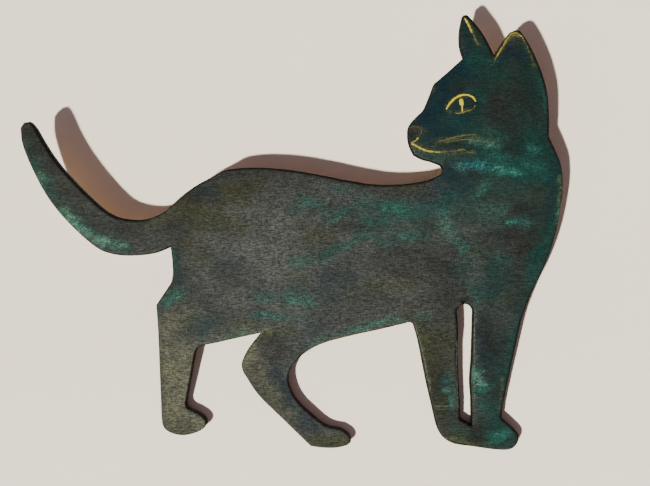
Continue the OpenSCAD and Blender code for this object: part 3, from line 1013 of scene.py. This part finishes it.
def paint_lines(name, strokes, material, seed):
    """Raised lines of paint. Where one is dry its skin dips under the face, and only flecks show.

    Each stroke: half width in mm, its dryness along the way, its share of colour, then its points.
    """
    verts, faces, load = [], [], []
    across = np.linspace(-1.25, 1.25, 13)
    m = len(across)
    for k, (width, dry, share, *points) in enumerate(strokes):
        line = smooth_line(points)
        n = len(line)
        t = np.gradient(line, axis=0)
        t /= np.linalg.norm(t, axis=1)[:, None]
        side = np.stack([-t[:, 1], t[:, 0]], 1)
        run = np.concatenate([[0], np.cumsum(np.linalg.norm(np.diff(line, axis=0), axis=1))])
        f = run / run[-1]
        taper = np.minimum(1, np.minimum(run, run[-1] - run) / (2.2 * width) + 0.25)
        swell = 0.8 + 0.4 * soft_noise(run / 1.6, run * 0, seed + k)
        w = width * swell * (0.6 + 0.4 * taper) * np.interp(f, (0, 0.2, 0.8, 1), (0.7, 1, 1, 0.65))
        dryness = np.interp(f, np.linspace(0, 1, len(dry)), dry)
        base = len(verts)
        low = base + n * m
        o = across * w[:, None]
        q = line[:, None] + side[:, None] * o[..., None]
        ground = FACE_Y + rounding(EDGE.distance(q.reshape(-1, 2))[0], ARRIS).reshape(n, m)
        along = np.repeat(run[:, None], m, 1)
        rag = soft_noise(along / 0.9, o / 0.28 + 50, seed + k) - 0.5
        fine = soft_noise(along / 0.35, o / 0.22 + 90, seed + k + 40) - 0.5
        rise = 0.17 * (1 - across**2) * taper[:, None] + 0.20 * rag + 0.10 * fine
        rise = np.clip(rise - 0.16 * dryness[:, None], *LINE_SKIN)
        rise[:, [0, -1]] = rise[[0, -1]] = LINE_SKIRT
        for y in (ground - rise, ground + LINE_ROOT):
            block = np.stack([(q[..., 0] + U0) * MM, y * MM, (q[..., 1] + V0) * MM], 2)
            verts += [tuple(v) for v in block.reshape(-1, 3)]
        strength = share * (1 - 0.3 * dryness[:, None] + 0.9 * rag + 2.4 * (rise - 0.05))
        load += list(np.clip(strength, 0, 1).ravel()) * 2

        def at(i, j, bottom=0):
            return (low if bottom else base) + i * m + j

        for i in range(n - 1):
            for j in range(m - 1):
                faces.append((at(i, j), at(i + 1, j), at(i + 1, j + 1), at(i, j + 1)))
                faces.append((at(i, j, 1), at(i, j + 1, 1), at(i + 1, j + 1, 1), at(i + 1, j, 1)))
            faces.append((at(i, 0), at(i, 0, 1), at(i + 1, 0, 1), at(i + 1, 0)))
            faces.append((at(i, m - 1), at(i + 1, m - 1), at(i + 1, m - 1, 1), at(i, m - 1, 1)))
        for j in range(m - 1):
            faces.append((at(0, j), at(0, j + 1), at(0, j + 1, 1), at(0, j, 1)))
            faces.append((at(n - 1, j), at(n - 1, j, 1), at(n - 1, j + 1, 1), at(n - 1, j + 1)))
    mesh = bpy.data.meshes.new(name)
    mesh.from_pydata(verts, [], faces)
    turned_outwards(mesh, 60)
    layer = mesh.attributes.new("load", "FLOAT", "POINT")
    layer.data.foreach_set("value", np.array(load, np.float32))
    mesh.materials.append(material)
    obj = placed(name, mesh)
    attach(obj, "root")


board, EDGE = board_piece(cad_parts["cat_board"])
for material in (
    painted_face(),
    painted_edge(),
    wood("bare_board_back", (0.50, 0.33, 0.18), (0.34, 0.195, 0.095), 0.010, 0.11, overspill=True),
):
    board.data.materials.append(material)
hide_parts("cat_board")
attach(board, "root")

GOLD = gold_paint()
paint_lines("gold_ear_far", [
    (0.55, (0.4, 0.1, 0.2, 0.6), 0.46, (246.8, 240.4), (248.8, 237), (250.4, 233.6), (251.6, 231)),
    (0.5, (0.5, 0.7, 0.9), 0.1, (251.4, 231.6), (253, 228.4), (254.4, 224.6)),
    (0.3, (0.8, 0.9, 1.1), 0.12, (252.2, 229), (253, 226)),
], GOLD, 1)
paint_lines("gold_ear_near", [
    (0.62, (0.7, 0.2, 0.2, 0.3), 0.27,
     (263.6, 216.6), (266.6, 221.6), (270, 227.4), (272.6, 231), (275, 232.2)),
    (0.6, (0.4, 0.5, 0.9), 0.27, (274.4, 232), (277.4, 231), (280, 228)),
    (0.5, (0.7, 0.9, 1.1), 0.16, (279.6, 228.6), (282, 224), (283.2, 219.4)),
    (0.5, (0.6, 0.6, 0.9), 0.22, (272.4, 229.6), (275, 230.6), (278, 229.4)),
    (0.36, (1, 0.9, 1.1), 0.14, (260.2, 215), (262.6, 214.4), (265.4, 217.4)),
], GOLD, 2)
paint_lines("gold_eye_lids", [
    (0.6, (0.3, 0, 0, 0.3), 0.78,
     (236.6, 189.2), (238.4, 192.2), (241.2, 195.2), (244.8, 197.2), (248.2, 197.4), (251.2, 196.4),
     (253.5, 193.6)),
    (0.4, (0.8, 0.4, 0.3, 0.7), 0.23,
     (253.2, 191.8), (251.2, 189.4), (248, 188.4), (245.8, 187.6), (243, 187.2), (241.2, 187.8)),
    (0.28, (0.9, 1, 1.1), 0.25, (235.6, 189.6), (237, 192.4), (239.6, 194.8)),
], GOLD, 3)
paint_lines("gold_pupil", [
    (1, (0.1, -0.2, 0.1), 1, (244.9, 195.4), (245.3, 193), (245.6, 190.4)),
    (0.46, (0.1, 0.1, 0.4), 0.8, (245.4, 191.6), (245.7, 189.4), (245.8, 187.4)),
], GOLD, 4)
paint_lines("gold_nose", [
    (0.4, (0.8, 0.8, 0.8), 0.15,
     (216.8, 178.8), (218.6, 179.9), (221.6, 179.4), (223.2, 177.2), (222, 174.8)),
    (0.55, (0.6, 0.4, 0.1), 0.44, (221.8, 174.6), (220.4, 172.8), (218.8, 171.4), (217.2, 170.6)),
], GOLD, 5)
paint_lines("gold_mouth", [
    (0.58, (0.1, 0.1, 0.3, 0.6), 0.46,
     (216.8, 170.6), (220.4, 169), (224.6, 166.8), (228.6, 165.9), (234, 165.6)),
    (0.46, (0.5, 0.6, 0.6), 0.11, (233.4, 165.7), (238, 166.1), (243, 166.4)),
    (0.62, (0.5, 0.4, 0.9), 0.115, (242.4, 166.5), (245.4, 167), (248.4, 166.2)),
    (0.4, (0.8, 0.9, 1.1), 0.1, (248, 166.2), (251, 165.2), (254, 164.9)),
], GOLD, 6)
paint_lines("gold_whiskers", [
    (0.62, (0.7, 0.5, 0.8), 0.13,
     (231.4, 171.2), (236, 172.6), (241.6, 174), (248, 175.2), (254, 175.4)),
    (0.5, (0.7, 0.6, 0.8), 0.11,
     (236, 170.9), (241, 171.8), (246.4, 172.6), (253, 172.4), (261, 171.2)),
    (0.42, (0.8, 0.7, 0.9), 0.1, (234.4, 171.7), (240, 172.9), (245, 173.6)),
    (0.34, (0.8, 0.8, 1), 0.12, (228, 168.9), (232.4, 168.8)),
    (0.3, (0.8, 0.8, 1), 0.11, (253.6, 173.6), (258.6, 172.8)),
], GOLD, 7)
paint_lines("pale_scuffs", [
    (0.28, (0.8, 0.5, 0.6, 0.9), 0.24, (230.4, 24.6), (236, 24.4), (239, 24.7), (242.4, 24.5)),
    (0.26, (0.9, 0.6, 0.9), 0.18, (231.4, 22.7), (237.6, 22.9)),
    (0.34, (0.7, 0.3, 0.6), 0.34, (252.6, 36.3), (255, 36.7), (257.6, 36.6)),
    (0.3, (0.8, 0.4, 0.7), 0.32, (252.4, 38.4), (255, 38.7), (258, 38.3)),
    (0.3, (0.8, 0.4, 0.8), 0.3, (253, 40.4), (257.4, 40.8)),
    (0.28, (0.8, 0.5, 0.9), 0.26, (253.4, 42.6), (257, 42.3)),
    (0.34, (0.5, 0.4, 0.8), 0.34, (257, 43.2), (258.8, 44.9)),
    (0.28, (0.9, 0.7, 0.8, 0.9), 0.28, (219.8, 68), (222.8, 58), (225.6, 46), (228.6, 32)),
    (0.26, (0.9, 0.7, 0.8, 0.9), 0.26, (252.6, 76), (252.5, 60), (252.4, 44), (252.6, 28)),
    (0.26, (0.9, 0.8, 0.9, 0.9), 0.2, (242.6, 62), (242.6, 44), (243.2, 24)),
], scuff_paint(), 8)


# ======== the parts behind the board
def dress(node, material, bevel, segments=2):
    """Gives a CAD node its material and takes the sharpness off its edges, bevel mm wide."""
    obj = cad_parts[node]
    obj.data.materials.clear()
    obj.data.materials.append(material)
    mod = obj.modifiers.new("soft_edges", "BEVEL")
    mod.width, mod.segments, mod.limit_method = bevel * MM, segments, "ANGLE"
    mod.angle_limit = math.radians(35)


dress("standoff_block", wood("sawn_pine", (0.52, 0.35, 0.19), (0.36, 0.20, 0.09), 0.02, 0.35), 0.35)
dress("sawtooth_hanger", brass("hanger_brass", (0.60, 0.42, 0.17), (0.36, 0.24, 0.10), 0.24), 0.12)
PIN = brass("pin_brass", (0.66, 0.47, 0.19), (0.40, 0.27, 0.11), 0.20)
dress("hanger_nail_rear", PIN, 0.15, 3)
dress("hanger_nail_front", PIN, 0.15, 3)


# ======== stage, light and camera
def stage_sheet(name, corners, quads, material):
    """A sheet of the stage, which casts no shadow."""
    mesh = bpy.data.meshes.new(name)
    mesh.from_pydata(corners, [], quads)
    mesh.materials.append(material)
    obj = placed(name, mesh)
    obj.visible_shadow = False
    return obj


def wall_paint():
    """Pale plaster seen from its front only, so the views from behind look through it."""
    g = Graph("pale_wall")
    mottled = g.noise(0.02, 3, 0.5)
    plaster = g.mix(mottled, (0.855, 0.800, 0.665), (0.890, 0.835, 0.695))
    g.finish(plaster, 0.9, ior=1.47, specular=0.0)
    out = g.tree.nodes["Material Output"]
    clear, side = g.new("ShaderNodeBsdfTransparent"), g.new("ShaderNodeNewGeometry")
    pick = g.new("ShaderNodeMixShader")
    for source, socket in (
        (side.outputs["Backfacing"], pick.inputs[0]),
        (g.bsdf.outputs[0], pick.inputs[1]),
        (clear.outputs[0], pick.inputs[2]),
        (pick.outputs[0], out.inputs[0]),
    ):
        g.tree.links.new(source, socket)
    return g.mat


def pale_paint(name, glow):
    """Pale paint with a glow of its own, because no lamp shines on the stage from above."""
    g = Graph(name)
    mottled = g.noise(0.01, 3, 0.5)
    g.finish(g.mix(mottled, (0.78, 0.75, 0.70), (0.82, 0.79, 0.74)), 0.8, ior=1.47)
    g.bsdf.inputs["Emission Color"].default_value = (1.0, 0.95, 0.88, 1)
    g.bsdf.inputs["Emission Strength"].default_value = glow
    return g.mat


def wall_gap(x, z):
    """Millimetres from the board's face plane to the wall, at (x, z) in millimetres.

    The wall leans away upwards, swells a little by the hind paw, and never cuts the board.
    """
    free = 16.4 - 0.0161 * x + 0.100 * z - 0.000104 * x * z
    free -= 1.2 * math.exp(-((x + 105) / 45)**2 - ((z + 95) / 45)**2)
    nearest = BACK_Y - FACE_Y + CLEARANCE    # and the larger of the two, blended softly
    return nearest + math.log1p(math.exp(-abs(free - nearest))) + max(free - nearest, 0)


def stage_wall(material):
    """The wall as a smooth grid, finest near the figure."""
    xs = [-1800, -900] + list(range(-400, 401, 40)) + [900]
    zs = [FLOOR_Z / MM] + list(range(-120, 201, 20)) + [900]
    corners = [(x * MM, (FACE_Y + wall_gap(x, z)) * MM, z * MM) for z in zs for x in xs]
    n = len(xs)
    quads = [(j * n + i, j * n + i + 1, (j + 1) * n + i + 1, (j + 1) * n + i)
             for j in range(len(zs) - 1) for i in range(n - 1)]
    stage_sheet("wall", corners, quads, material).data.shade_smooth()


FLOOR_Z = LOW.z - 0.040
STAGE_R, STAGE_TOP, SIDES = 4.8, 4, 48    # the round backdrop, in metres and flat sides
stage_wall(wall_paint())
floor = stage_sheet(
    "floor", [(x, y, FLOOR_Z) for x, y in ((-5, -5), (5, -5), (5, 5), (-5, 5))], [(0, 1, 2, 3)],
    pale_paint("floor_paint", 0.55))
turns = [2 * math.pi * k / SIDES for k in range(SIDES)]
backdrop = stage_sheet(
    "backdrop",
    [(STAGE_R * math.cos(t), STAGE_R * math.sin(t), z) for z in (FLOOR_Z, STAGE_TOP) for t in turns],
    [(k, (k + 1) % SIDES, SIDES + (k + 1) % SIDES, SIDES + k) for k in range(SIDES)],
    pale_paint("backdrop_paint", 0.75))
for sheet in (floor, backdrop):
    sheet.visible_diffuse = False
    sheet.visible_glossy = False

world = bpy.data.worlds.new("room")
bpy.context.scene.world = world
world.use_nodes = True
sky = world.node_tree.nodes["Background"]
sky.inputs["Color"].default_value = (0.188, 0.114, 0.124, 1)    # what fills the shadows
sky.inputs["Strength"].default_value = 1.0


def lamp(name, kind, energy, colour, at, size):
    """A lamp aimed at the origin: a sun of size radians across, or a disc of size metres."""
    data = bpy.data.lights.new(name, kind)
    data.energy, data.color = energy, colour
    if kind == "SUN":
        data.angle = size
    else:
        data.shape, data.size = "DISK", size
    obj = placed(name, data)
    obj.location = at
    obj.rotation_mode = "QUATERNION"
    obj.rotation_quaternion = (-Vector(at)).to_track_quat("-Z", "Y")
    obj.visible_camera = False
    return obj


lamp("key", "SUN", 8.0, (1.0, 0.95, 0.86), SUN_FROM, math.radians(2.6))
lamp("glow_round_key", "SUN", 0.26, (0.25, 0.75, 1.0), SUN_FROM, math.radians(70))
# these light the back and the right side, and add no bounce to the shadow in front
for behind in (
    lamp("back_left", "AREA", 15, (1.0, 0.97, 0.93), (-0.5, 1.2, 0.7), 0.9),
    lamp("back_right", "AREA", 7, (0.95, 0.97, 1.0), (0.35, 1.3, 0.0), 0.9),
    lamp("side_right", "AREA", 14, (1.0, 0.98, 0.95), (1.2, 0.32, 0.25), 0.8),
):
    behind.data.cycles.max_bounces = 0

camera = placed("camera", bpy.data.cameras.new("camera"))
camera.data.lens = 49.85
camera.data.sensor_width = 36.0
camera.location = (-0.0196, -0.5164, -0.0130)    # half a metre in front of the face
camera.rotation_euler = (math.radians(90), 0, 0)    # looking straight at the wall, +Z up
bpy.context.scene.camera = camera
